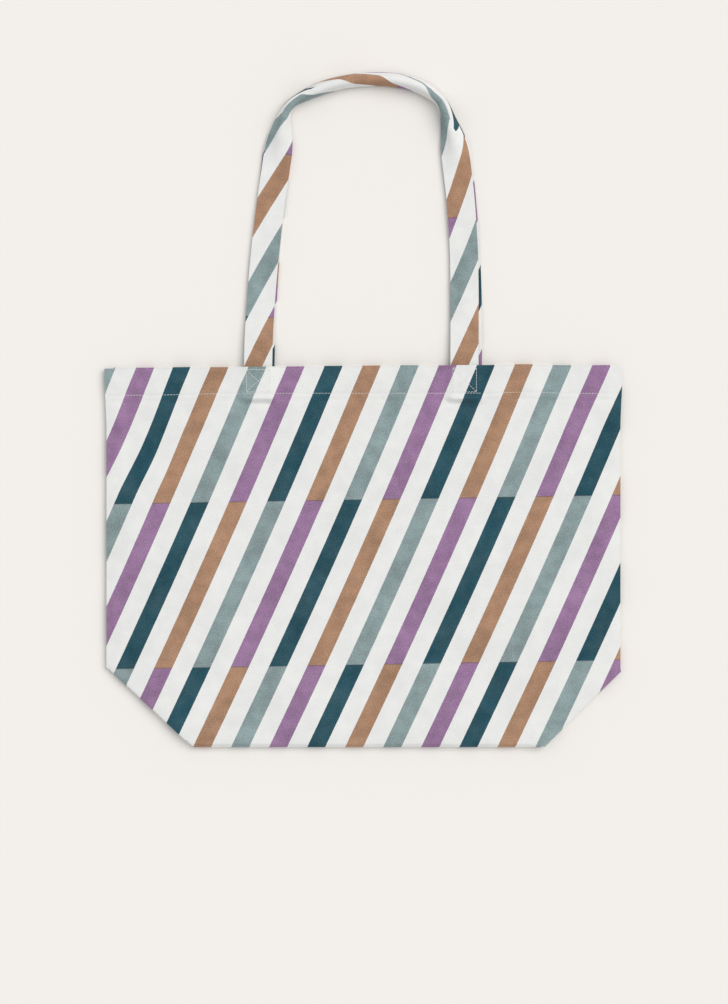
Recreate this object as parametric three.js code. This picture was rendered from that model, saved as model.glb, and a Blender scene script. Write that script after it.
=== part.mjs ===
// A printed canvas tote bag with a boxed base, lying flat with its base tucked in between its panels.
// Millimetres, +Z up. The origin is at the middle of the footprint, on the surface that the bag lies on;
// +Y runs from the base to the handles, and the front panel faces +Z.
import * as THREE from "three";

// Driving dimensions of the sewn bag.
const BAG_WIDTH = 492; // across the side seams, flat
const BAG_HEIGHT = 365; // base fold to mouth
const BASE_DEPTH = 152; // front to back once the base is pushed out
const HEM_DEPTH = 27;
const STRAP_WIDTH = 27;
const STRAP_THICKNESS = 1.8; // four layers of cloth
const STRAP_PITCH = STRAP_THICKNESS + 1.0; // between the two handles, middle to middle
const TAB_LENGTH = 33; // strap end sewn inside the mouth
const LOOP_REACH = 285.6; // furthest point of the handles beyond the mouth

// How the layers lie on each other.
const CLOTH = 1.0;
const HEM_THICKNESS = 0.9;
const THREAD = 0.8;
const THREAD_HEIGHT = 0.4;
const GAP = 0.3; // between pieces that touch
const FOLD_PITCH = 1.6; // panel to tucked base, middle to middle
const BASE_PITCH = 5.2; // between the two tucked halves of the base
const SEAM_HALF_GAP = 1.3; // a side's middle surface to the bag's middle surface, at its seam
const SEAM_ALLOWANCE_WIDTH = 12;
const SEAM_ALLOWANCE_THICKNESS = 0.8;
const JOINT_GAP = 1.5; // between two stretches of one cloth that fold on each other
const BASE_CLEARANCE = 3; // base to the corner, for the turned-in corners to unfold beside it
const HEM_CLEARANCE = 2.8; // front or back hem to the corner, for the side's hem to turn in beside it

// Positions worked out from them.
const HALF_DEPTH = BASE_DEPTH / 2;
const CORNER_X = BAG_WIDTH / 2 - HALF_DEPTH; // where the front turns into a side
const BOTTOM_Y = -(BAG_HEIGHT + LOOP_REACH) / 2;
const MOUTH_Y = BOTTOM_Y + BAG_HEIGHT;
const BACK_Z = CLOTH / 2;
const FRONT_Z = BACK_Z + 2 * FOLD_PITCH + BASE_PITCH;
const MIDDLE_Z = (BACK_Z + FRONT_Z) / 2;
const HEM_INSET = CLOTH / 2 + GAP + HEM_THICKNESS / 2; // panel to hem, middle to middle
const TAB_INSET = HEM_INSET + HEM_THICKNESS / 2 + GAP + STRAP_THICKNESS / 2;
const SIDE_SLOPE = Math.asin((MIDDLE_Z - BACK_Z - SEAM_HALF_GAP) / HALF_DEPTH);

// The faces of the bag: where the middle surface is, and which way the inside of the bag is from it.
// The back handle is sewn on a little further right than the front one.
const FACES = [
  { face: "back", z: BACK_Z, inward: 1, strapShift: 3.4 },
  { face: "front", z: FRONT_Z, inward: -1, strapShift: 0 },
];
// The lower corners aren't turned in quite alike. foot is where a corner's fold leaves the base fold, outwards
// from the corner line, and rise is how far up the side seam it ends.
const SIDES = [
  { side: "left", sign: -1, strapX: -101, foot: -6.6, rise: 77 },
  { side: "right", sign: 1, strapX: 97, foot: 2.8, rise: 72.5 },
];

// Height over the base fold of a corner's fold, at a distance u out from the corner line.
const foldHeight = ({ foot, rise }, u) => ((u - foot) * rise) / (HALF_DEPTH - foot);

const cloth = (color) => new THREE.MeshStandardMaterial({ color, roughness: 0.9, metalness: 0 });
const PRINTED_CANVAS = cloth(0xe8e8e5);
const PRINTED_STRAP = cloth(0xdfe3e1);
const SEWING_THREAD = cloth(0xf2f2ee);

const bag = new THREE.Group();

function addMesh(parent, name, geometry, material) {
  const mesh = new THREE.Mesh(geometry, material);
  mesh.name = name;
  parent.add(mesh);
  return mesh;
}

// A flat piece of the given outline, with its middle surface at height z.
function addPlate(parent, name, corners, z, thickness, material, holes = []) {
  const toPath = (points) => points.map(([x, y]) => new THREE.Vector2(x, y));
  const shape = new THREE.Shape(toPath(corners));
  shape.holes = holes.map((hole) => new THREE.Path(toPath(hole)));
  const geometry = new THREE.ExtrudeGeometry(shape, { depth: thickness, bevelEnabled: false });
  const mesh = addMesh(parent, name, geometry, material);
  mesh.position.z = z - thickness / 2;
  return mesh;
}

const rectangle = (x0, y0, x1, y1) => [[x0, y0], [x1, y0], [x1, y1], [x0, y1]];

// The middle of the front or back, between the two sides.
function addPanel({ face, z }) {
  const outline = trimmedRectangle(CORNER_X, MOUTH_Y);
  addPlate(bag, `${face}_panel`, outline, z, CLOTH, PRINTED_CANVAS);
}

// A rectangle that stands on the base fold, less what a fold that starts inside the corner line cuts off.
function trimmedRectangle(end, top) {
  const [left, right] = SIDES;
  const corner = (side) =>
    side.foot < 0
      ? [[side.sign * end, BOTTOM_Y + foldHeight(side, end - CORNER_X)], [side.sign * (CORNER_X + side.foot), BOTTOM_Y]]
      : [[side.sign * end, BOTTOM_Y]];
  return [...corner(left), ...corner(right).reverse(), [end, top], [-end, top]];
}

// The turned-in hem at the mouth, and the row of stitches that holds its lower edge, from row0 to row1.
// The front's row shows outside; the back's row shows inside, where the strap ends cover some of it.
function addHem(parent, prefix, [x0, x1], [row0, row1], { z, inward }) {
  const hemZ = z + inward * HEM_INSET;
  addPlate(parent, `${prefix}_hem`, rectangle(x0, MOUTH_Y - HEM_DEPTH, x1, MOUTH_Y), hemZ,
    HEM_THICKNESS, PRINTED_CANVAS);
  const above = inward > 0 ? hemZ + HEM_THICKNESS / 2 : z + CLOTH / 2;
  const rowY = MOUTH_Y - HEM_DEPTH + 1.2;
  addPlate(parent, `${prefix}_hem_stitch`, rectangle(row0, rowY, row1, rowY + THREAD),
    above + GAP + THREAD_HEIGHT / 2, THREAD_HEIGHT, SEWING_THREAD);
}

// One half of a side wall. Its group stands on the line where the panel turns into the side, with local
// u = sign * x running out to the side seam, and slopes to meet the other half at the seam.
function addSide({ face, z, inward }, corner) {
  const { side, sign } = corner;
  const group = new THREE.Group();
  group.position.set(sign * CORNER_X, 0, z);
  group.rotation.y = -sign * inward * SIDE_SLOPE;
  bag.add(group);
  const start = JOINT_GAP / 2;
  // The lower corner is turned in along a slanted fold, so the wall ends on that line.
  const foldStart = Math.max(start, corner.foot);
  const wall = [
    [start, BOTTOM_Y + foldHeight(corner, foldStart)],
    [foldStart, BOTTOM_Y + foldHeight(corner, foldStart)],
    [HALF_DEPTH, BOTTOM_Y + corner.rise],
    [HALF_DEPTH, MOUTH_Y],
    [start, MOUTH_Y],
  ].filter(([u, y], i, all) => i === 0 || u !== all[i - 1][0] || y !== all[i - 1][1]);
  const outline = wall.map(([u, y]) => [sign * u, y]);
  addPlate(group, `${face}_${side}_side`, outline, 0, CLOTH, PRINTED_CANVAS);
  const hemEnd = 0.6 * HALF_DEPTH; // where the two faces come too close for the hem's layers
  const span = [sign * start, sign * hemEnd].sort((a, b) => a - b);
  addHem(group, `${face}_${side}`, span, span, { z: 0, inward });
  addCornerFold(group, { face, inward }, corner);
  return group;
}

// The turned-in lower corner, folded flat against its side. The point of the triangle is left off, because
// the rigid piece has to turn past the opposite corner; the cloth there is slack.
function addCornerFold(group, { face, inward }, corner) {
  const { side, sign } = corner;
  const near = Math.max(0, corner.foot) + 0.13 * HALF_DEPTH; // clear of the tucked base beside it
  const reach = near + 0.3 * HALF_DEPTH;
  const lift = 1.5; // clear of the fold line
  const depth = 0.28 * HALF_DEPTH;
  const [low, high] = [foldHeight(corner, near) + lift, foldHeight(corner, reach) + lift];
  const fold = [[near, low], [reach, high], [reach, high + depth], [near, low + depth]];
  const outline = fold.map(([u, up]) => [sign * u, BOTTOM_Y + up]);
  addPlate(group, `${face}_${side}_corner_fold`, outline, inward * FOLD_PITCH, CLOTH, PRINTED_CANVAS);
}

// Half of the base, tucked up between the panels from the panel's lower edge.
function addBaseHalf({ face, z, inward }) {
  const end = CORNER_X - BASE_CLEARANCE;
  const outline = trimmedRectangle(end, BOTTOM_Y + HALF_DEPTH - JOINT_GAP / 2);
  addPlate(bag, `base_${face}_half`, outline, z + inward * FOLD_PITCH, CLOTH, PRINTED_CANVAS);
}

// The trimmed and overlocked cloth edges behind a side seam.
function addSeamAllowance({ side, sign }) {
  const outer = sign * (BAG_WIDTH / 2 - 3);
  const inner = outer - sign * SEAM_ALLOWANCE_WIDTH;
  const outline = rectangle(
    Math.min(inner, outer), BOTTOM_Y + HALF_DEPTH + 8, Math.max(inner, outer), MOUTH_Y - 1);
  addPlate(bag, `${side}_seam_allowance`, outline, MIDDLE_Z, SEAM_ALLOWANCE_THICKNESS, PRINTED_CANVAS);
}

// A strap end inside the mouth, and the crossed square of stitches through it.
function addTab({ face, z, inward, strapShift }, { side, strapX }) {
  const tabZ = z + inward * TAB_INSET;
  const half = STRAP_WIDTH / 2;
  const x = strapX + strapShift;
  addPlate(bag, `${face}_${side}_tab`, rectangle(x - half, MOUTH_Y - TAB_LENGTH, x + half, MOUTH_Y),
    tabZ, STRAP_THICKNESS, PRINTED_STRAP);
  const above = inward > 0 ? tabZ + STRAP_THICKNESS / 2 : z + CLOTH / 2;
  addCrossedSquare(`${face}_${side}_tab_stitch`, x, MOUTH_Y - 12.9, above + GAP);
}

// A square of thread with both diagonals, as one solid: a plate with four triangular holes.
function addCrossedSquare(name, x, y, z) {
  const outer = STRAP_WIDTH / 2 - 2;
  const inner = outer - THREAD;
  const diagonal = THREAD / Math.SQRT2; // half of a diagonal bar, measured along an edge
  const quarter = [
    [-inner + diagonal, inner],
    [inner - diagonal, inner],
    [0, diagonal],
  ];
  const holes = [0, 1, 2, 3].map((turn) => {
    const angle = (turn * Math.PI) / 2;
    return quarter.map(([px, py]) => [
      px * Math.cos(angle) - py * Math.sin(angle),
      px * Math.sin(angle) + py * Math.cos(angle),
    ]);
  });
  const square = addPlate(bag, name, rectangle(-outer, -outer, outer, outer), 0, THREAD_HEIGHT,
    SEWING_THREAD, holes);
  square.position.set(x, y, z);
}

// The handles. Each is one flat strap. Its legs lie flat, and its bend is creased along the middle like a roof,
// because a flat strap can't turn in its own plane.
const LOOP_POINTS = [
  [-101, 1.5], [-99.5, 50], [-94, 105], [-85.5, 175], [-80.5, 222], [-70.5, 248], [-42, 267],
  [-3, 275], [35, 273], [62, 263.5], [80, 244], [88, 215], [92, 160], [95, 80], [97, 1.5],
];
const CREASE_FROM = 188; // distance beyond the mouth where the strap starts to rise along its middle
const CREASE_TO = 254;
const INNER_PITCH = THREE.MathUtils.degToRad(78); // how steep the strap's inner half is at the bend
const OUTER_PITCH = THREE.MathUtils.degToRad(68);
const RELAXED_PITCH = THREE.MathUtils.degToRad(50); // of the outer half at the top of the bend
const ACROSS = [-1, -0.36, -0.18, 0, 0.18, 0.36, 1]; // places across the strap, in half widths
const SETTLE = 60; // distance beyond the mouth over which the straps come down to the surface
const STATIONS = 150;
const JOINED_FROM = 30; // distance beyond the mouth over which the two handles come to lie on each other
const JOINED_AT = 160;

// The strap at one station: points across its middle surface, from its inner to its outer edge, and its upper
// normal at each. It leaves the mouth at height rootZ and rests at restZ, moved down its own normal by below.
function strapStation(curve, t, { rootZ, restZ, below, shift }) {
  const { smoothstep, lerp } = THREE.MathUtils;
  const at = curve.getPointAt(t);
  const along = curve.getTangentAt(t);
  const outward = new THREE.Vector3(-along.y, along.x, 0);
  const creased = smoothstep(at.y, CREASE_FROM, CREASE_TO);
  const inner = INNER_PITCH * creased;
  const outer = -OUTER_PITCH * creased + (OUTER_PITCH - RELAXED_PITCH) * smoothstep(at.y, CREASE_TO, 272);
  const [bendFrom, bendTo] = [ACROSS[1], ACROSS[ACROSS.length - 2]];
  const pitchAt = (a) => lerp(inner, outer, THREE.MathUtils.clamp((a - bendFrom) / (bendTo - bendFrom), 0, 1));
  const section = [[0, 0]];
  for (let k = 1; k < ACROSS.length; k++) {
    const step = ((ACROSS[k] - ACROSS[k - 1]) * STRAP_WIDTH) / 2;
    const pitch = (pitchAt(ACROSS[k - 1]) + pitchAt(ACROSS[k])) / 2;
    const [out, up] = section[k - 1];
    section.push([out + step * Math.cos(pitch), up + step * Math.sin(pitch)]);
  }
  const settled = smoothstep(at.y, 0, SETTLE);
  const apart = shift * (1 - smoothstep(at.y, JOINED_FROM, JOINED_AT));
  const middle = new THREE.Vector3(at.x + apart, MOUTH_Y + at.y, lerp(rootZ, restZ, settled));
  const center = section[section.length - 1][0] / 2;
  return section.map(([out, up], k) => {
    const pitch = pitchAt(ACROSS[k]);
    const normal = outward.clone().multiplyScalar(-Math.sin(pitch)).setZ(Math.cos(pitch));
    const point = middle.clone().addScaledVector(outward, out - center).setZ(middle.z + up);
    return { point: point.addScaledVector(normal, -below * settled), normal };
  });
}

// A closed strap through the stations: a ring round the strap at each, and a cap at both ends.
function strapGeometry(stations) {
  const side = (n) => ({ point, normal }) => point.clone().addScaledVector(normal, (n * STRAP_THICKNESS) / 2);
  const rings = stations.map((station) => [...station.map(side(1)), ...station.map(side(-1)).reverse()]);
  const around = rings[0].length;
  const half = around / 2;
  const index = [];
  const quad = (a, b, c, d) => index.push(a, c, b, a, d, c);
  for (let i = 0; i + 1 < rings.length; i++) {
    for (let k = 0; k < around; k++) {
      const next = (k + 1) % around;
      quad(around * i + k, around * i + next, around * (i + 1) + next, around * (i + 1) + k);
    }
  }
  const last = around * (rings.length - 1);
  for (let k = 0; k + 1 < half; k++) {
    const [above, below] = [[k, k + 1], [around - 2 - k, around - 1 - k]];
    quad(above[0], below[1], below[0], above[1]);
    quad(last + above[0], last + above[1], last + below[0], last + below[1]);
  }
  const geometry = new THREE.BufferGeometry();
  const positions = rings.flat().flatMap((point) => point.toArray());
  geometry.setAttribute("position", new THREE.Float32BufferAttribute(positions, 3));
  geometry.setIndex(index);
  geometry.computeVertexNormals();
  return geometry;
}

function addHandleLoop(face, lie) {
  const curve = new THREE.CatmullRomCurve3(LOOP_POINTS.map(([x, y]) => new THREE.Vector3(x, y, 0)));
  const stations = [];
  for (let i = 0; i <= STATIONS; i++) stations.push(strapStation(curve, i / STATIONS, lie));
  addMesh(bag, `${face}_handle_loop`, strapGeometry(stations), PRINTED_STRAP);
}

for (const face of FACES) {
  addPanel(face);
  const hemEnd = CORNER_X - HEM_CLEARANCE;
  const width = [-hemEnd, hemEnd];
  const betweenTabs = [
    SIDES[0].strapX + face.strapShift + STRAP_WIDTH / 2 + 1,
    SIDES[1].strapX + face.strapShift - STRAP_WIDTH / 2 - 1,
  ];
  addHem(bag, face.face, width, face.inward > 0 ? betweenTabs : width, face);
  addBaseHalf(face);
  for (const side of SIDES) {
    addSide(face, side);
    addTab(face, side);
  }
}
SIDES.forEach(addSeamAllowance);

// The front handle rests on the back one, which rests on the surface that the bag lies on.
const RESTING_FRONT_STRAP_Z = STRAP_THICKNESS / 2 + STRAP_PITCH;
const [BACK, FRONT] = FACES;
addHandleLoop(FRONT.face, {
  rootZ: FRONT.z - TAB_INSET, restZ: RESTING_FRONT_STRAP_Z, below: 0, shift: FRONT.strapShift });
addHandleLoop(BACK.face, {
  rootZ: BACK.z + TAB_INSET, restZ: RESTING_FRONT_STRAP_Z, below: STRAP_PITCH, shift: BACK.strapShift });

export default bag;
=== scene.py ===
"""A printed canvas tote bag, lying flat on its back with its boxed base tucked in, seen from above."""

import math

import bpy
import numpy as np
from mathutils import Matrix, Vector, noise


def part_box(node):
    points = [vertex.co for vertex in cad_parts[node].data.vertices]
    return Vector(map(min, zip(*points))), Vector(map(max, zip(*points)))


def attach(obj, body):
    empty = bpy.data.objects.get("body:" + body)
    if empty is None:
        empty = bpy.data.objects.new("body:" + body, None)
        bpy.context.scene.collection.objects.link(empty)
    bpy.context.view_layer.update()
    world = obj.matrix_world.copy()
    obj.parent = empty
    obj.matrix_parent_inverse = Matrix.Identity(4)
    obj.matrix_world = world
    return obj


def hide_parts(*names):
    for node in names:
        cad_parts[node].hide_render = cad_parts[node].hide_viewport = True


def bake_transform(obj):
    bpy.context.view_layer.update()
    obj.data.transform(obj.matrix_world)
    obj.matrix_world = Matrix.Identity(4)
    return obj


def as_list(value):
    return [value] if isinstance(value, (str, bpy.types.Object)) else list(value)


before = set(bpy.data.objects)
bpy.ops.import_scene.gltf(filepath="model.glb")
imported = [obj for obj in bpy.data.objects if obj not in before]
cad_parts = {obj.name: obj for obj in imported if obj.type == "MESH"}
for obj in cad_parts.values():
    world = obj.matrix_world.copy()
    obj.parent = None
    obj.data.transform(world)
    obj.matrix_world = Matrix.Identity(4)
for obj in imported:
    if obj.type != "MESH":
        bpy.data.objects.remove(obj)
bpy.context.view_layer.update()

# The camera looks straight down, with +Y up the picture.
camera_data = bpy.data.cameras.new("camera")
camera = bpy.data.objects.new("camera", camera_data)
bpy.context.scene.collection.objects.link(camera)
camera.location = (0.0005, -0.0907, 2.509)
camera_data.lens = 93.4
camera_data.sensor_width = 36
camera_data.clip_end = 100
bpy.context.scene.camera = camera

MM = 0.001


def span(node, axis):
    """A CAD node's lowest and highest coordinate along an axis, in mm."""
    low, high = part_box(node)
    return low[axis] / MM, high[axis] / MM


# Sizes in mm. Those that the CAD fixes are read from it.
CORNER_X = span("front_panel", 0)[1]
BOTTOM_Y, MOUTH_Y = span("front_panel", 1)
HEM_DEPTH = MOUTH_Y - span("front_hem", 1)[0]
BACK_Z = sum(span("back_panel", 2)) / 2
FRONT_Z = sum(span("front_panel", 2)) / 2
BASE_BACK_Z = sum(span("base_back_half", 2)) / 2
BASE_FRONT_Z = sum(span("base_front_half", 2)) / 2
MIDDLE_Z = (BACK_Z + FRONT_Z) / 2
HALF_DEPTH = 76.0
SEAM_REACH = HALF_DEPTH + 0.9
SIDE_SLOPE = 2.9 / HALF_DEPTH
CLOTH = 0.9
FOLD_PITCH = 1.6
HEM_INSET = 1.25
TAB_INSET = 2.9
STRAP_WIDTH = 27.0
STRAP_THICKNESS = 1.8
TAB_LENGTH = 33.0
STRAP_X = {"left": -101.0, "right": 97.0}
BACK_SHIFT = 3.4  # the back handle is sewn on a little further right
HEM_ROW_Y = MOUTH_Y - HEM_DEPTH + 1.0

FACES = {"back": (BACK_Z, 1), "front": (FRONT_Z, -1)}  # height, and which way the bag's inside is
SIDES = {"left": -1, "right": 1}
# A lower corner's fold: where it leaves the base fold, outwards from the corner line, and how far up the
# side seam it ends. The back's folds lie a little lower than the front's.
CORNER_FOLDS = {"left": (-6.6, 77.0), "right": (2.8, 72.5)}
BACK_SLIP = 0.7


def strap_x(face, side):
    return STRAP_X[side] + (BACK_SHIFT if face == "back" else 0)


def corner_fold(face, side):
    foot, rise = CORNER_FOLDS[side]
    slip = BACK_SLIP if face == "back" else 0
    return foot + slip, rise - slip


def smooth(t):
    t = np.clip(t, 0, 1)
    return t * t * (3 - 2 * t)


# ---------------------------------------------------------------- the printed pattern

STRIPE_PITCH = 36.52  # across, mm
BAND_HEIGHT = 158.4
BAND_TOP = -88.4
BAND_TILT = 0.0178
PRINT_ORIGIN = (-208.7, -40.8)
STRIPE_LEAN = 0.425  # x for each mm down
LEAN_GROWTH = 0.0000955  # and a little more, the further down
STRIPE_START = 0.2435  # in stripes


def body_print(x, y):
    """The stripe and band numbers at a point of the bag's cloth, both counted on without end."""
    down = PRINT_ORIGIN[1] - y
    lean = STRIPE_LEAN * down + LEAN_GROWTH * down * np.clip(down, -100, 400)
    stripe = (x + lean - PRINT_ORIGIN[0]) / STRIPE_PITCH + STRIPE_START
    band = (BAND_TOP + BAND_TILT * x - y) / BAND_HEIGHT + 1
    return stripe, band


# ---------------------------------------------------------------- meshes


def add_piece(name, mesh, material):
    mesh.materials.append(material)
    piece = bpy.data.objects.new(name, mesh)
    bpy.context.scene.collection.objects.link(piece)
    return piece


def add_grid(name, points, thickness, outer, inner, material, outward=1, printed_inside=False):
    """A piece of cloth of even thickness on a grid of its middle surface, in mm.

    outer and inner are the print's (stripe, band) on either side, and cloth coordinates in mm with them.
    outward is 1 where the printed side is on the right-hand side of rows times columns.
    """
    rows, cols = points.shape[:2]
    along = np.gradient(points, axis=0)
    across = np.gradient(points, axis=1)
    normal = np.cross(along, across)
    normal *= outward / np.linalg.norm(normal, axis=2, keepdims=True)
    front = points + normal * thickness / 2
    back = points - normal * thickness / 2
    count = rows * cols
    vertices = np.concatenate([front.reshape(-1, 3), back.reshape(-1, 3)]) * MM
    index = np.arange(count).reshape(rows, cols)
    quads = np.stack([index[:-1, :-1], index[1:, :-1], index[1:, 1:], index[:-1, 1:]], axis=-1).reshape(-1, 4)
    if outward < 0:
        quads = quads[:, ::-1]
    faces = [tuple(q) for q in quads] + [tuple(q[::-1] + count) for q in quads]
    rims = ((index[-1, :], True), (index[0, ::-1], True), (index[::-1, 0], False), (index[:, -1], False))
    for rim, crosswise in rims:
        flip = crosswise == (outward > 0)
        for a, b in zip(rim[:-1], rim[1:]):
            face = (a, b, b + count, a + count)
            faces.append(face[::-1] if flip else face)
    mesh = bpy.data.meshes.new(name)
    mesh.from_pydata(vertices.tolist(), [], [tuple(int(i) for i in f) for f in faces])
    mesh.update()
    mesh.shade_smooth()
    mesh.set_sharp_from_angle(angle=math.radians(60))
    side = np.concatenate([np.ones(count), np.full(count, 1.0 if printed_inside else 0.0)])
    layers = {
        "stripe": [np.concatenate([outer[0].ravel(), inner[0].ravel()]),
                   np.concatenate([outer[1].ravel(), inner[1].ravel()]), side],
        "cloth": [np.concatenate([outer[2].ravel(), inner[2].ravel()]),
                  np.concatenate([outer[3].ravel(), inner[3].ravel()]), side * 0],
    }
    for key, parts in layers.items():
        layer = mesh.attributes.new(key, "FLOAT_VECTOR", "POINT")
        layer.data.foreach_set("vector", np.stack(parts, axis=1).astype(np.float32).ravel())
    return add_piece(name, mesh, material)


def body_coordinates(x, y):
    # Near the mouth the cloth is drawn in a little towards the left side.
    x = x - 3.0 * smooth((-170 - x) / 42) * smooth((y - MOUTH_Y + 125) / 50)
    return (*body_print(x, y), x, y)


# ---------------------------------------------------------------- the lie of the cloth

FOLD_DROP = 0.3  # how far a face turns down towards a corner's fold
EDGE_DROP = 3.0  # and how far the front does towards the fold along the base


def edge_drop(face, x):
    if face == "back":
        return np.full_like(x, FOLD_DROP)
    return EDGE_DROP + (FOLD_DROP - EDGE_DROP) * smooth((np.abs(x) - CORNER_X + 14) / 14)


def wave(x, y, scale, seed):
    flat = [noise.noise(Vector((a / scale, b / scale, seed))) for a, b in zip(x.ravel(), y.ravel())]
    return np.array(flat).reshape(x.shape)


def fold_height(face, side, u):
    """The height over the base fold of a corner's fold, at a distance u out from the corner line."""
    foot, rise = corner_fold(face, side)
    return (u - foot) * rise / (HALF_DEPTH - foot)


def floor_line(face, x):
    """The lowest y of a face at x: the base fold, then the slanted fold of the corner."""
    u = np.abs(x) - CORNER_X
    slant = np.where(x < 0, fold_height(face, "left", u), fold_height(face, "right", u))
    return BOTTOM_Y + np.maximum(0, slant)


def lift(face, x, y):
    """How far a face's cloth stands off its flat middle surface, towards the outside."""
    above = y - floor_line(face, x)
    edge = np.minimum(above, CORNER_X + SEAM_REACH - np.abs(x))
    calm = smooth(edge / 25) * (0.35 + 0.65 * smooth((MOUTH_Y - y) / 30))
    seed = 3.7 if face == "front" else 8.1
    # Long slack waves, shorter ones across them, and a fine unevenness.
    z = calm * (1.1 * wave(x, y, 95, seed) + 0.42 * wave(x + 40, y * 0.6, 34, seed + 5))
    z += calm * 0.16 * wave(x, y, 11, seed + 9)
    # The hem's layers stand out, with a dent along its row of stitches and another below it.
    z += 0.3 * smooth((y - HEM_ROW_Y + 5) / 4)
    z -= 0.42 * np.exp(-(((y - HEM_ROW_Y) / 1.5) ** 2)) + 0.3 * np.exp(-(((y - HEM_ROW_Y + 6.5) / 1.8) ** 2))
    # Each strap end raises the cloth that lies over it, with a ridge and a crease where the strap stops.
    for side in SIDES:
        beside = smooth((STRAP_WIDTH / 2 + 4 - np.abs(x - strap_x(face, side))) / 5)
        below = y - MOUTH_Y + TAB_LENGTH + 2.2
        ridge = 2.2 * np.exp(-((below - 4.4) / 2.6) ** 2) - 2.0 * np.exp(-((below + 1.2) / 2.4) ** 2)
        z += beside * (1.7 * smooth(below / 4.4) + ridge)
    if face == "back":
        z = np.clip(z, None, 0.4) * 0.12
    rolled = 0.15 * smooth(1 - above / 9) + 0.85 * np.clip(1 - above / 2.8, 0, 1) ** 1.4
    return z - edge_drop(face, x) * rolled


def face_height(face, x, y):
    """The height of a face's middle surface over the floor. Beyond the corner it slopes to the side seam."""
    z0, inward = FACES[face]
    u = np.abs(x) - CORNER_X
    down = np.where(u < -8, 0, np.where(u > 8, SIDE_SLOPE * u, SIDE_SLOPE * (u + 8) ** 2 / 32))
    # What is left between the walls at the end closes over the last stretch before the seam.
    end_gap = abs(MIDDLE_Z - z0) - SIDE_SLOPE * SEAM_REACH - CLOTH / 2
    down = down + end_gap * np.clip((u - 62) / (SEAM_REACH - 62), 0, 1) ** 2
    return z0 + inward * (down - lift(face, x, y))


def flare(sign, x, y):
    """The mouth stands a little wider than the rest of the bag."""
    share = smooth((np.abs(x) - CORNER_X) / SEAM_REACH)
    return sign * share * 2.0 * smooth((y - MOUTH_Y + 62) / 60)


def mouth_sway(face, x, y):
    """How far the mouth's edge wanders up or down, and hangs lower to the left. It fades out below."""
    within_hem = 0.5 * wave(x, y * 0, 38, 12.5 if face == "front" else 15.5)
    within_hem = within_hem - 1.8 * smooth((110 - x) / 240) * (1 - 0.8 * smooth((-120 - x) / 90))
    below_it = 1.1 * np.exp(-((x - 155) / 26) ** 2) - 1.8 * smooth((-105 - x) / 110)
    return within_hem * smooth((y - HEM_ROW_Y - 2) / 20) + below_it * smooth((y - MOUTH_Y + 90) / 60)


COLUMN_STEP = 4.0


def half_columns(reach):
    """Distances from the middle to a side, closer together where the cloth turns the corner."""
    turn = np.linspace(CORNER_X - 6, CORNER_X + 6, 9)
    inner = np.linspace(0, turn[0], int(turn[0] / COLUMN_STEP) + 1)[:-1]
    outer = np.linspace(turn[-1], reach, int((reach - turn[-1]) / COLUMN_STEP) + 2)[1:]
    return np.concatenate([inner, turn, outer])


def bend_round_corner(piece, face, side):
    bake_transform(piece)


def panel_half(face, side, material):
    """Half of a face, from the middle of the bag to a side seam."""
    sign = SIDES[side]
    _, inward = FACES[face]
    x = sign * half_columns(CORNER_X + SEAM_REACH)
    # Rows lie close together where the cloth rolls under at the bottom, and over the hem's creases.
    roll, hem = 0.03, 0.87
    t = np.concatenate([roll * np.linspace(0, 1, 16)[:-1] ** 1.5, np.linspace(roll, hem, 70)[:-1],
                        np.linspace(hem, 1, 88)])
    x = np.broadcast_to(x, (len(t), len(x)))
    low = floor_line(face, x)
    y = low + t[:, None] * (MOUTH_Y - low)
    points = np.stack([x + flare(sign, x, y), y + mouth_sway(face, x, y), face_height(face, x, y)], axis=-1)
    coordinates = body_coordinates(x, y)
    piece = add_grid(f"{face}_cloth_{side}", points, CLOTH, coordinates, coordinates, material,
                     outward=inward * sign)
    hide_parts(f"{face}_panel", f"{face}_{side}_side")
    bend_round_corner(piece, face, side)
    return piece


# ---------------------------------------------------------------- the base and the turned-in corners

FOLD_POINTS = 9
TUCK = 1.05  # how far the base turns down inside the front's lower edge


def turn(start, end, count, outward):
    """Points of a half circle in a plane from start to end, bulging along outward, as (a, z) pairs."""
    start, end, outward = (np.array(v, float) for v in (start, end, outward))
    middle, half = (start + end) / 2, (start - end) / 2
    angle = np.linspace(0, math.pi, count)[:, None]
    bulge = outward / np.linalg.norm(outward) * np.linalg.norm(half)
    return middle + half * np.cos(angle) + bulge * np.sin(angle)


def sweep_along_x(name, profile, faces, travel, material, stretched_from=None):
    """Cloth whose section across Y and Z is the profile, from end to end of the base.

    For each point of the profile, travel gives the y that the print has there, and faces names the face whose
    lower edge it follows where a corner's fold cuts into the base. A section stretched from a height reaches
    up from there to the front's edge, which is higher at the corners.
    """
    x = np.linspace(0.6 - CORNER_X, CORNER_X + 0.1, 88)
    profile = np.array(profile)
    grid_x = np.broadcast_to(x, (len(profile), len(x)))
    raised = np.array([floor_line(face, x) - BOTTOM_Y for face in faces])
    y = profile[:, :1] + raised * np.clip(1 - (profile[:, :1] - BOTTOM_Y) / HALF_DEPTH, 0, 1)
    z = np.repeat(profile[:, 1:], len(x), 1)
    if stretched_from is not None:
        reach = (FRONT_Z - edge_drop("front", x) - stretched_from) / (FRONT_Z - EDGE_DROP - stretched_from)
        z = stretched_from + (z - stretched_from) * reach
    points = np.stack([grid_x, y, z], axis=-1)
    cloth_y = np.repeat(np.array(travel)[:, None], len(x), 1)
    coordinates = body_coordinates(grid_x, cloth_y)
    piece = add_grid(name, points, CLOTH, coordinates, coordinates, material)
    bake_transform(piece)
    return piece


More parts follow.
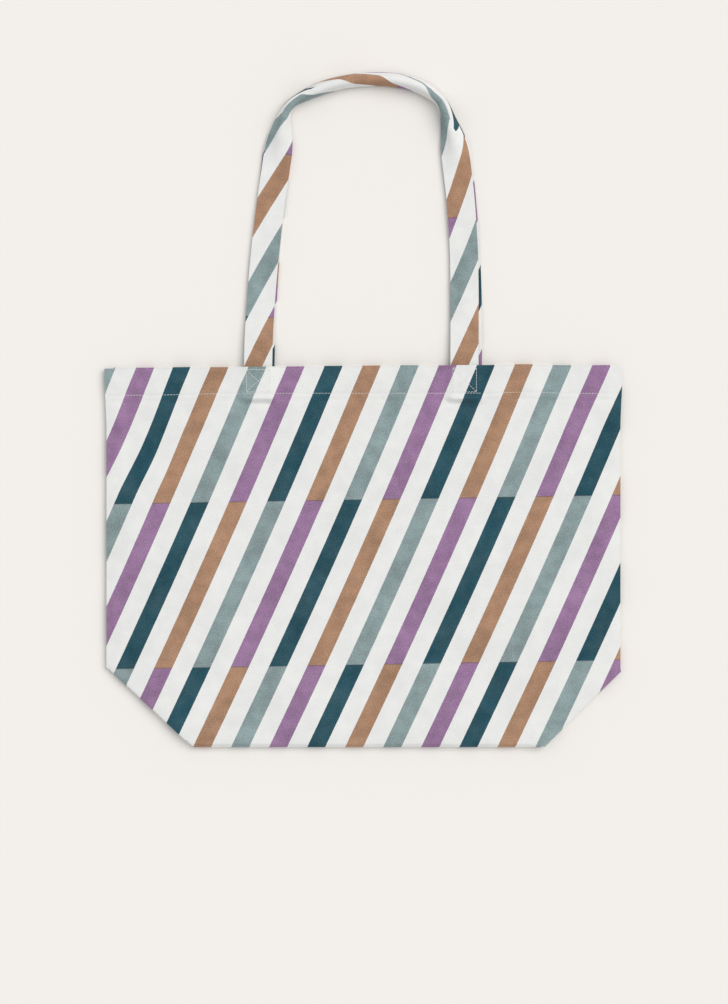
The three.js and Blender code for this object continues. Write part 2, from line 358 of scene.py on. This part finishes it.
def base_pieces(material):
    """The base, from the front panel's lower edge round and up to its middle fold, and down to the back's."""
    front_edge = FRONT_Z - EDGE_DROP
    tucked = front_edge - TUCK
    fold = turn((BOTTOM_Y, front_edge), (BOTTOM_Y, tucked), FOLD_POINTS, (-1, 0))
    arc = -np.linspace(0, math.pi * TUCK / 2, FOLD_POINTS)
    front_fold = sweep_along_x("base_fold_front", fold, ["front"] * FOLD_POINTS, BOTTOM_Y + arc, material,
                               stretched_from=tucked)
    top = BOTTOM_Y + HALF_DEPTH
    reach = (BASE_FRONT_Z - BASE_BACK_Z) / 2
    up = np.linspace(BOTTOM_Y, top - reach, 40)
    crease = turn((top - reach, BASE_FRONT_Z), (top - reach, BASE_BACK_Z), 15, (1, 0))
    drop = (BASE_FRONT_Z - tucked) * smooth(1 - (up - BOTTOM_Y) / 14)
    profile = list(zip(up[:-1], BASE_FRONT_Z - drop)) + [tuple(p) for p in crease]
    profile += [(y, BASE_BACK_Z) for y in up[::-1][1:]]
    steps = np.linalg.norm(np.diff(np.array(profile), axis=0), axis=1)
    travel = BOTTOM_Y - np.concatenate([[0], np.cumsum(steps)])
    to_middle = len(up) - 1 + len(crease) // 2
    faces = ["front"] * to_middle + ["back"] * (len(profile) - to_middle)
    base = sweep_along_x("base_cloth", profile, faces, travel, material)
    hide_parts("base_back_half", "base_front_half")
    back_edge = BACK_Z + FOLD_DROP
    fold = turn((BOTTOM_Y, BASE_BACK_Z), (BOTTOM_Y, back_edge), FOLD_POINTS, (-1, 0))
    back_fold = sweep_along_x("base_fold_back", fold, ["back"] * FOLD_POINTS, travel[-1] + arc, material)
    return [base, front_fold, back_fold]


def corner_piece(face, side, material):
    """A turned-in lower corner: the cloth turns back on itself along the slanted fold, onto its side wall."""
    z0, inward = FACES[face]
    sign = SIDES[side]
    foot, rise = corner_fold(face, side)
    fold = np.array([HALF_DEPTH - foot, rise]) / math.hypot(HALF_DEPTH - foot, rise)
    # Where each line across the fold crosses it.
    fold_u = np.linspace(max(0.0, foot + 0.3), SEAM_REACH, 27)
    fold_y = fold_height(face, side, fold_u)
    start_z = face_height(face, sign * (CORNER_X + fold_u), BOTTOM_Y + fold_y)
    flat_z = z0 + inward * (SIDE_SLOPE * fold_u + FOLD_PITCH)
    rows_u, rows_y, rows_z, cloth_u, cloth_y = [], [], [], [], []
    for k in range(FOLD_POINTS):
        angle = math.pi * k / (FOLD_POINTS - 1)
        out = math.sin(angle) * FOLD_PITCH / 2
        rows_u.append(fold_u + out * fold[1])
        rows_y.append(BOTTOM_Y + fold_y - out * fold[0])
        mix = (1 - math.cos(angle)) / 2
        rows_z.append(start_z * (1 - mix) + flat_z * mix)
        cloth_u.append(fold_u + angle * 0.4)
        cloth_y.append(BOTTOM_Y + fold_y - angle * 0.4)
    for t in np.linspace(0, 1, 12)[1:]:
        # Straight down the flat cloth from the fold to the base, mirrored in the fold.
        flat = np.stack([fold_u - foot, fold_y * (1 - t)])
        mirrored = 2 * fold[:, None] * (fold @ flat) - flat
        u = foot + mirrored[0]
        beside_base = 1.1 * smooth((1.5 - u) / 3)  # the corner's edge passes clear of the base
        rows_u.append(u)
        rows_y.append(BOTTOM_Y + mirrored[1])
        rows_z.append(z0 + inward * (SIDE_SLOPE * np.maximum(u, 0) + FOLD_PITCH + beside_base))
        cloth_u.append(fold_u)
        cloth_y.append(BOTTOM_Y + flat[1])
    u, y, z, cu, cy = (np.array(a) for a in (rows_u, rows_y, rows_z, cloth_u, cloth_y))
    points = np.stack([sign * (CORNER_X + u), y, z], axis=-1)
    coordinates = body_coordinates(sign * (CORNER_X + cu), cy)
    piece = add_grid(f"{face}_corner_{side}", points, CLOTH, coordinates, coordinates, material,
                     outward=-inward * sign)
    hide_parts(f"{face}_{side}_corner_fold")
    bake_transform(piece)
    return piece


# ---------------------------------------------------------------- hems, straps and stitches


def hem_half(face, side, material):
    """The turned-in hem of half a face: over the mouth's edge, and down inside it."""
    sign = SIDES[side]
    _, inward = FACES[face]
    x = sign * half_columns(CORNER_X + 68)
    angles = np.linspace(0, math.pi, 9)
    drops = np.linspace(0, HEM_DEPTH, 12)[1:]
    inset = HEM_INSET * (1 - np.cos(angles)) / 2
    rise = HEM_INSET / 2 * np.sin(angles)
    rows = [(0, r, i) for r, i in zip(rise, inset)] + [(d, 0, HEM_INSET) for d in drops]
    points, cloth_x, cloth_y = [], [], []
    taper = 1 - 0.4 * smooth((np.abs(x) - CORNER_X - 40) / 28)
    for down, up, inside in rows:
        y = np.full_like(x, MOUTH_Y - down)
        z = face_height(face, x, y) + inward * inside * taper
        sway = mouth_sway(face, x, np.full_like(x, MOUTH_Y - down))
        points.append(np.stack([x + flare(sign, x, y), y + up + sway, z], axis=-1))
        cloth_x.append(x)
        cloth_y.append(np.full_like(x, MOUTH_Y + down + inside))
    points = np.array(points)
    outer = body_coordinates(np.array(cloth_x), np.array(cloth_y))
    piece = add_grid(f"{face}_hem_{side}", points, CLOTH, outer, outer, material, outward=inward * sign)
    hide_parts(f"{face}_hem", f"{face}_{side}_hem")
    bend_round_corner(piece, face, side)
    return piece


STITCH_LENGTH = 2.9
THREAD_RADIUS = 0.22


def dashes(name, lines, surface, material):
    """Running stitches: a bead of thread for each stitch along each line, sunk a little at both ends."""
    vertices, faces = [], []
    sides, stations = 6, 5
    for start, end in lines:
        start, end = np.array(start, float), np.array(end, float)
        length = np.linalg.norm(end - start)
        number = max(1, round(length / STITCH_LENGTH))
        direction = (end - start) / length
        across = np.array([-direction[1], direction[0]])
        for k in range(number):
            middle = start + direction * (k + 0.5) * length / number
            first = len(vertices)
            for i in range(stations):
                t = -1 + 2 * i / (stations - 1)
                along = middle + direction * t * 0.49 * length / number
                radius = THREAD_RADIUS * math.sqrt(max(0.05, 1 - t ** 4))
                for j in range(sides):
                    angle = 2 * math.pi * j / sides
                    side_at = along + across * radius * math.cos(angle)
                    out = radius * math.sin(angle) * 0.8 + 0.06 - THREAD_RADIUS * t ** 6
                    vertices.append(surface(side_at[0], side_at[1], out))
            for i in range(stations - 1):
                for j in range(sides):
                    a, b = first + i * sides + j, first + i * sides + (j + 1) % sides
                    faces.append((a, b, b + sides, a + sides))
            faces.append(tuple(first + j for j in range(sides))[::-1])
            faces.append(tuple(first + (stations - 1) * sides + j for j in range(sides)))
    mesh = bpy.data.meshes.new(name)
    mesh.from_pydata((np.array(vertices) * MM).tolist(), [], faces)
    mesh.update()
    mesh.shade_smooth()
    return add_piece(name, mesh, material)


def outside_of(face):
    """Maps a point of a face, and a distance off its cloth, to 3-D."""
    _, inward = FACES[face]

    def surface(x, y, out):
        at_x, at_y = np.array([x]), np.array([y])
        z = face_height(face, at_x, at_y)[0] - inward * (CLOTH / 2 + out)
        return x + flare(np.sign(x), at_x, at_y)[0], y + mouth_sway(face, at_x, at_y)[0], z

    return surface


def hem_stitches(face, side, material):
    sign = SIDES[side]
    lines = [((0, HEM_ROW_Y), (sign * (CORNER_X + 74), HEM_ROW_Y))]
    piece = dashes(f"{face}_hem_stitches_{side}", lines, outside_of(face), material)
    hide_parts(f"{face}_hem_stitch", f"{face}_{side}_hem_stitch")
    bend_round_corner(piece, face, side)
    return piece


def tab_stitches(face, side, material):
    x, half = strap_x(face, side), STRAP_WIDTH / 2 - 2.2
    low, high = HEM_ROW_Y + 1.2, MOUTH_Y - 1.8
    corners = [(x - half, low), (x + half, low), (x + half, high), (x - half, high)]
    lines = list(zip(corners, corners[1:] + corners[:1]))
    lines += [(corners[0], corners[2]), (corners[1], corners[3])]
    piece = dashes(f"{face}_tab_stitches_{side}", lines, outside_of(face), material)
    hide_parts(f"{face}_{side}_tab_stitch")
    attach(piece, face)
    return piece


def seam_allowance(side, material):
    """The raw edges of a side seam inside the bag: two layers, overlocked together."""
    sign = SIDES[side]
    y = np.linspace(BOTTOM_Y + HALF_DEPTH + 8, MOUTH_Y - 4.5, 110)
    x = np.linspace(CORNER_X + SEAM_REACH - 14, CORNER_X + SEAM_REACH - 1.5, 9)
    grid_y = np.repeat(y[:, None], len(x), 1)
    grid_x = np.repeat(x[None, :], len(y), 0)
    z = MIDDLE_Z + 0.5 * wave(grid_x * 2, grid_y, 22, 31.0) * (CORNER_X + SEAM_REACH - grid_x) / 12
    points = np.stack([sign * grid_x, grid_y, z], axis=-1)
    coordinates = body_coordinates(grid_x, grid_y)
    piece = add_grid(f"seam_allowance_{side}", points, 1.0, coordinates, coordinates, material, outward=-sign)
    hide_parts(f"{side}_seam_allowance")
    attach(piece, f"back_{side}_wall")
    return piece


STRAP_PATH = [  # x from the middle of the bag, distance beyond the mouth
    (-101, -33), (-101.2, 0), (-99.8, 46), (-95.6, 100), (-90.6, 145), (-85.8, 180),
    (-82.4, 203), (-80, 220), (-77.6, 235), (-72.6, 248), (-60, 258.5), (-36, 269),
    (-8, 275), (24, 275.7), (48, 271), (64, 263), (75.4, 251.5), (82.2, 233),
    (87.2, 211), (90.6, 186), (93.4, 160), (96.3, 118), (97.2, 76), (97.2, 34),
    (97, 0), (97, -33),
]
# Along the bend the strap is creased along its middle like a roof. These are how steep its halves are, in
# degrees, from where it starts to rise to the narrow place at each shoulder, and over the top of the bend.
CREASE_FROM = {"left": 190, "right": 184}
CREASE_TO = 254
INNER_PITCH, OUTER_PITCH, RELAXED_PITCH = 86, 80, 66
CREASE_HALF = 0.27  # of the crease's rounding, in half widths
STRAP_LEAN = 0.453
STRAP_PRINT_AT = {"front": (61.2, 206), "back": (104.1, 78.8)}  # where a stripe and a band start, along it


def smooth_path(knots, count):
    """A Catmull-Rom curve through the knots, sampled evenly along its length."""
    knots = np.array(knots, float)
    padded = np.vstack([2 * knots[0] - knots[1], knots, 2 * knots[-1] - knots[-2]])
    fine = []
    for i in range(1, len(padded) - 2):
        p0, p1, p2, p3 = padded[i - 1:i + 3]
        for t in np.linspace(0, 1, 24, endpoint=False):
            fine.append(0.5 * (2 * p1 + (p2 - p0) * t + (2 * p0 - 5 * p1 + 4 * p2 - p3) * t ** 2
                               + (3 * p1 - p0 - 3 * p2 + p3) * t ** 3))
    fine = np.array(fine + [knots[-1]])
    travel = np.concatenate([[0], np.cumsum(np.linalg.norm(np.diff(fine, axis=0), axis=1))])
    at = np.linspace(0, travel[-1], count)
    return np.stack([np.interp(at, travel, fine[:, k]) for k in range(knots.shape[1])], axis=1), at


def strap(face, material):
    """A handle: one strap from tab to tab. Its legs lie flat, and its bend is creased along its middle."""
    path, travel = smooth_path(STRAP_PATH, 300)
    beyond = path[:, 1]
    right = smooth((path[:, 0] + 20) / 40)
    tangent = np.gradient(path, axis=0)
    tangent /= np.linalg.norm(tangent, axis=1, keepdims=True)
    outward = np.stack([-tangent[:, 1], tangent[:, 0], np.zeros(len(path))], axis=1)[:, None, :]
    start = CREASE_FROM["left"] * (1 - right) + CREASE_FROM["right"] * right
    creased = smooth((beyond - start) / (CREASE_TO - start))
    creased = creased * (1 + 0.05 * wave(travel, travel * 0, 26, 4.4 + (face == "back")))
    top = smooth((beyond - CREASE_TO) / 18)
    inner = INNER_PITCH * creased - 6 * top
    outer = -OUTER_PITCH * creased + (OUTER_PITCH - RELAXED_PITCH) * top
    # The back strap's crease is slid outwards, so that a little of it shows at the front one's outer edge.
    a = np.linspace(-1, 1, 33)
    slide = 0.16 * creased if face == "back" else creased * 0
    bend = np.clip((a[None, :] + slide[:, None] + CREASE_HALF) / (2 * CREASE_HALF), 0, 1)
    pitch = np.radians(inner[:, None] + (outer - inner)[:, None] * bend)
    step = STRAP_WIDTH / (len(a) - 1)
    mean = (pitch[:, 1:] + pitch[:, :-1]) / 2
    out = np.cumsum(np.concatenate([pitch[:, :1] * 0, step * np.cos(mean)], axis=1), axis=1)
    up = np.cumsum(np.concatenate([pitch[:, :1] * 0, step * np.sin(mean)], axis=1), axis=1)
    out += slide[:, None] * STRAP_WIDTH / 2 - out[:, -1:] / 2
    if face == "back":
        up -= np.clip(up.min(axis=1, keepdims=True), None, 0)
    settled = smooth(beyond / 60)
    z0, inward = FACES[face]
    layer = STRAP_THICKNESS + 0.1
    below = layer if face == "back" else 0
    root = z0 + inward * TAB_INSET
    rest = STRAP_THICKNESS / 2 + layer + 0.1
    path_x = path[:, 0]
    if face == "back":
        # It leaves the mouth beside the front strap, and comes back under it along the legs.
        joined = smooth((beyond - 30) / 130)
        path_x = path_x + BACK_SHIFT * (0.62 + 0.38 * right) * (1 - joined) + 1.5 * right * joined * (1 - top)
        path_x = path_x - 1.3 * (1 - right) * np.exp(-((beyond - 208) / 24) ** 2)
    middle = np.stack([path_x, MOUTH_Y + beyond, root + (rest - root) * settled], axis=1)[:, None, :]
    normal = -outward * np.sin(pitch)[..., None] + np.array([0, 0, 1.0]) * np.cos(pitch)[..., None]
    points = middle + outward * out[..., None] + np.array([0, 0, 1.0]) * up[..., None]
    points = points - normal * (below * settled)[:, None, None]
    from_outer = np.repeat((STRAP_WIDTH / 2 * (1 - a))[None, :], len(path), 0)
    along = np.repeat((travel - TAB_LENGTH)[:, None], len(a), 1)
    stripe, band = strap_print(face, from_outer, along)
    under = strap_print(face, 2 * STRAP_WIDTH - from_outer, along)
    piece = add_grid(f"{face}_strap", points, STRAP_THICKNESS, (stripe, band, from_outer, along),
                     (*under, 2 * STRAP_WIDTH - from_outer, along), material, outward=1, printed_inside=True)
    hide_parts(f"{face}_handle_loop", f"{face}_left_tab", f"{face}_right_tab")
    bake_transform(piece)
    return piece


def strap_print(face, from_outer, along):
    """The print on a strap, by the distance from its outer edge and the distance along it from the mouth."""
    stripe_at, band_at = STRAP_PRINT_AT[face]
    stripe = (from_outer + STRAP_LEAN * (stripe_at - along)) / STRIPE_PITCH + STRIPE_START
    band = (band_at - along) / BAND_HEIGHT + 1
    return stripe, band


# ---------------------------------------------------------------- materials

CLOTH_WHITE = (0.828, 0.822, 0.797)
STRIPE_COLORS = [(0.244, 0.316, 0.321), (0.300, 0.166, 0.306), (0.0075, 0.066, 0.092), (0.391, 0.219, 0.130)]


def printed_cloth(name):
    """Plain-weave canvas with a slanted stripe print, whose colours step by one at each stripe.

    At each band they step by two.
    """
    material = bpy.data.materials.new(name)
    material.use_nodes = True
    tree = material.node_tree
    links = tree.links
    shader = tree.nodes["Principled BSDF"]

    def node(kind, **settings):
        made = tree.nodes.new(kind)
        for key, value in settings.items():
            setattr(made, key, value)
        return made

    def put(socket, value):
        if isinstance(value, (int, float, tuple)):
            socket.default_value = value
        else:
            links.new(value, socket)

    def math_node(operation, a, b=0.0, c=0.0):
        made = node("ShaderNodeMath", operation=operation)
        for socket, value in zip(made.inputs, (a, b, c)):
            put(socket, value)
        return made.outputs[0]

    def mix(factor, a, b):
        made = node("ShaderNodeMix", data_type="RGBA")
        put(made.inputs["Factor"], factor)
        for socket, value in ((made.inputs[6], a), (made.inputs[7], b)):
            put(socket, (*value, 1.0) if isinstance(value, tuple) else value)
        return made.outputs[2]

    def fuzzy(vector, scale, detail=2.0):
        made = node("ShaderNodeTexNoise", noise_dimensions="3D")
        made.inputs["Scale"].default_value = scale
        made.inputs["Detail"].default_value = detail
        links.new(vector, made.inputs["Vector"])
        return made.outputs["Fac"]

    def ramp(value, low, high, to_low=0.0, to_high=1.0):
        made = node("ShaderNodeMapRange", interpolation_type="SMOOTHSTEP")
        for socket, v in zip(made.inputs, (value, low, high, to_low, to_high)):
            put(socket, v)
        return made.outputs[0]

    cloth = node("ShaderNodeAttribute", attribute_name="cloth").outputs["Vector"]
    stripe_attribute = node("ShaderNodeAttribute", attribute_name="stripe").outputs["Vector"]
    split = node("ShaderNodeSeparateXYZ")
    links.new(stripe_attribute, split.inputs[0])
    stripe, band, printed_side = split.outputs
    at = node("ShaderNodeSeparateXYZ")
    links.new(cloth, at.inputs[0])

    fine = fuzzy(cloth, 0.9, 3.0)
    ragged = math_node("MULTIPLY_ADD", fine, 0.022, -0.011)
    stripe = math_node("ADD", stripe, ragged)
    number = math_node("FLOOR", stripe)
    across = math_node("FRACT", stripe)
    inked = math_node("MULTIPLY", ramp(across, 0.0, 0.012), ramp(across, 0.475, 0.487, 1.0, 0.0))
    band_number = math_node("FLOOR", band)
    shift = math_node("MULTIPLY_ADD", band_number, 2.0, 2.0)
    color_index = math_node("FLOORED_MODULO", math_node("ADD", number, shift), 4.0)
    ink = STRIPE_COLORS[0]
    for k in range(1, 4):
        chosen = math_node("GREATER_THAN", color_index, k - 0.5)
        ink = mix(chosen, ink, STRIPE_COLORS[k])
    # Where two bands meet, their inks lie over each other in a thin line.
    in_band = math_node("FRACT", math_node("ADD", band, 0.5))
    to_edge = math_node("ABSOLUTE", math_node("SUBTRACT", in_band, 0.5))
    doubled = ramp(to_edge, 0.0015, 0.0045, 0.45, 0.0)
    ink = mix(doubled, ink, (0.05, 0.045, 0.06))
    patchy = fuzzy(cloth, 0.045, 3.0)
    speckle = fuzzy(cloth, 1.7, 2.0)
    spotted = ramp(speckle, 0.34, 0.46, 0.93, 1.0)
    ink_strength = math_node("MULTIPLY", spotted, ramp(patchy, 0.2, 0.8, 0.97, 1.0))

    # The weave: yarns over and under each other in both directions.
    yarn = 2 * math.pi / 1.25
    warp = math_node("SINE", math_node("MULTIPLY", at.outputs[0], yarn))
    weft = math_node("SINE", math_node("MULTIPLY", at.outputs[1], yarn))
    weave = math_node("MULTIPLY", warp, weft)
    slub = fuzzy(cloth, 0.5, 4.0)
    relief = math_node("ADD", math_node("MULTIPLY", weave, 0.5), math_node("MULTIPLY", slub, 1.1))

    white = mix(ramp(patchy, 0.3, 0.7), CLOTH_WHITE, (0.80, 0.80, 0.785))
    white = mix(ramp(slub, 0.35, 0.65, 0.0, 0.05), white, (0.70, 0.70, 0.68))
    cover = math_node("MULTIPLY", inked, ink_strength)
    outside = mix(cover, white, ink)
    inside = mix(math_node("MULTIPLY", inked, 0.13), white, ink)
    # Thick and thin yarns take the light, and the ink, unevenly.
    yarns = ramp(fuzzy(cloth, 0.8, 2.0), 0.36, 0.64, -0.13, 0.13)
    uneven = math_node("ADD", yarns, ramp(weave, -1.0, 1.0, -0.06, 0.04))
    for scale, depth in ((0.075, 0.10), (0.02, 0.08)):
        uneven = math_node("ADD", uneven, ramp(fuzzy(cloth, scale, 2.0), 0.3, 0.7, -depth, depth))
    uneven = math_node("MULTIPLY", uneven, ramp(cover, 0.0, 1.0, 0.2, 1.0))
    tone = node("ShaderNodeHueSaturation")
    links.new(math_node("ADD", uneven, 1.0), tone.inputs["Value"])
    links.new(mix(printed_side, inside, outside), tone.inputs["Color"])
    links.new(tone.outputs["Color"], shader.inputs["Base Color"])
    links.new(ramp(slub, 0.3, 0.7, 0.97, 0.86), shader.inputs["Roughness"])
    shader.inputs["Specular IOR Level"].default_value = 0.15
    shader.inputs["Sheen Weight"].default_value = 0.04
    shader.inputs["Sheen Roughness"].default_value = 0.6
    bump = node("ShaderNodeBump")
    bump.inputs["Strength"].default_value = 0.5
    bump.inputs["Distance"].default_value = 0.00022
    links.new(relief, bump.inputs["Height"])
    links.new(bump.outputs["Normal"], shader.inputs["Normal"])
    return material


def thread_material():
    material = bpy.data.materials.new("sewing_thread")
    material.use_nodes = True
    tree = material.node_tree
    shader = tree.nodes["Principled BSDF"]
    wave_node = tree.nodes.new("ShaderNodeTexWave")
    wave_node.inputs["Scale"].default_value = 900
    wave_node.inputs["Distortion"].default_value = 1.5
    tint = tree.nodes.new("ShaderNodeMix")
    tint.data_type = "RGBA"
    tint.inputs[6].default_value = (0.84, 0.84, 0.82, 1)
    tint.inputs[7].default_value = (0.70, 0.70, 0.67, 1)
    tree.links.new(wave_node.outputs["Fac"], tint.inputs["Factor"])
    tree.links.new(tint.outputs[2], shader.inputs["Base Color"])
    shader.inputs["Roughness"].default_value = 0.55
    return material


canvas = printed_cloth("printed_canvas")
strap_canvas = printed_cloth("printed_strap")
thread = thread_material()

printed, threads = [], []
for face in FACES:
    for side in SIDES:
        panel = panel_half(face, side, canvas)
        trims = [hem_half(face, side, canvas), corner_piece(face, side, canvas)]
        if face == "back":
            trims.append(seam_allowance(side, canvas))
        sewing = [hem_stitches(face, side, thread), tab_stitches(face, side, thread)]
        printed += [panel, *trims]
        threads += sewing
base, *base_folds = base_pieces(canvas)
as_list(base_folds)
printed += [base, *base_folds]
straps = [strap(face, strap_canvas) for face in FACES]
for group, finish in ((printed, "printed_canvas"), (straps, "printed_strap"), (threads, "sewing_thread")):
    for piece in group:
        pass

# ---------------------------------------------------------------- floor and light

FLOOR_REACH = 40  # m, so that its edge is out of sight from low down

floor_material = bpy.data.materials.new("floor")
floor_material.use_nodes = True
floor_shader = floor_material.node_tree.nodes["Principled BSDF"]
floor_shader.inputs["Base Color"].default_value = (0.885, 0.849, 0.809, 1)
floor_shader.inputs["Roughness"].default_value = 1.0
floor_shader.inputs["Specular IOR Level"].default_value = 0.0
floor_mesh = bpy.data.meshes.new("floor")
floor_corners = [(x * FLOOR_REACH, y * FLOOR_REACH, 0) for x, y in ((-1, -1), (1, -1), (1, 1), (-1, 1))]
floor_mesh.from_pydata(floor_corners, [], [(0, 1, 2, 3)])
floor = add_piece("floor", floor_mesh, floor_material)
floor.location.z = -0.0004

sun_data = bpy.data.lights.new("key", "SUN")
sun_data.energy = 1.47
sun_data.angle = math.radians(46)
sun_data.color = (1.0, 0.985, 0.96)
sun = bpy.data.objects.new("key", sun_data)
sun.rotation_euler = Vector((0.62, 0.42, 1.0)).to_track_quat("Z", "Y").to_euler()
bpy.context.scene.collection.objects.link(sun)

world = bpy.data.worlds.new("studio")
world.use_nodes = True
world.node_tree.nodes["Background"].inputs["Color"].default_value = (0.96, 0.98, 1.0, 1)
world.node_tree.nodes["Background"].inputs["Strength"].default_value = 0.665
bpy.context.scene.world = world
bpy.context.scene.view_settings.view_transform = "Standard"
